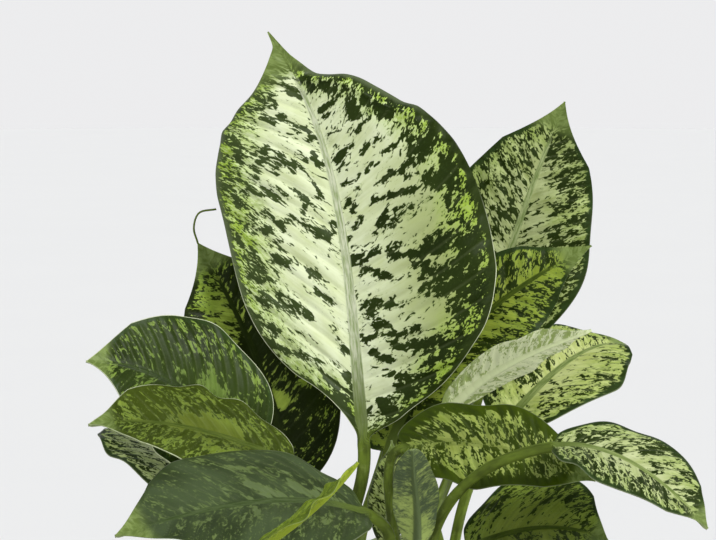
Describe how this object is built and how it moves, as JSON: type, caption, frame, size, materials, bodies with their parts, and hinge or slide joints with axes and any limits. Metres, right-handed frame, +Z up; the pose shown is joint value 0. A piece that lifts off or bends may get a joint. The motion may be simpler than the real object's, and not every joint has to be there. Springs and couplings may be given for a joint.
{
  "type": "potted dieffenbachia",
  "caption": "Dumb cane house plant with broad, pointed leaves mottled cream and green, on short canes in a plain round grower's pot.",
  "frame": {"origin": "middle of the pot's underside, on the surface it rests on", "axes": "+Z up, -Y the side that the tall leaf faces, +X to the right as seen in the picture"},
  "size_m": [0.3046, 0.3602, 0.5113],
  "materials": {
    "pot_plastic": "matte",
    "compost": "rough, crumbly",
    "stem": "satin",
    "leaf": "satin, waxy"
  },
  "bodies": {
    "root": {"pot": "pot_plastic", "compost": "compost", "cane_middle": "stem", "cane_front": "stem", "cane_left": "stem", "cane_right": "stem", "leaf_tall": "leaf", "leaf_left_back": "leaf", "leaf_left_mid": "leaf", "leaf_left_folded": "leaf", "leaf_front_left": "leaf", "leaf_front_small": "leaf", "leaf_young_front": "leaf", "leaf_young_back": "leaf", "leaf_right_tall": "leaf", "leaf_right_wide": "leaf", "leaf_right_pale": "leaf", "leaf_right_near": "leaf", "leaf_right_arching": "leaf", "leaf_right_low": "leaf", "leaf_back_tall": "leaf", "leaf_back_left": "leaf", "leaf_back_right": "leaf", "leaf_back_low": "leaf", "leaf_front_low": "leaf"}
  },
  "joints": []
}
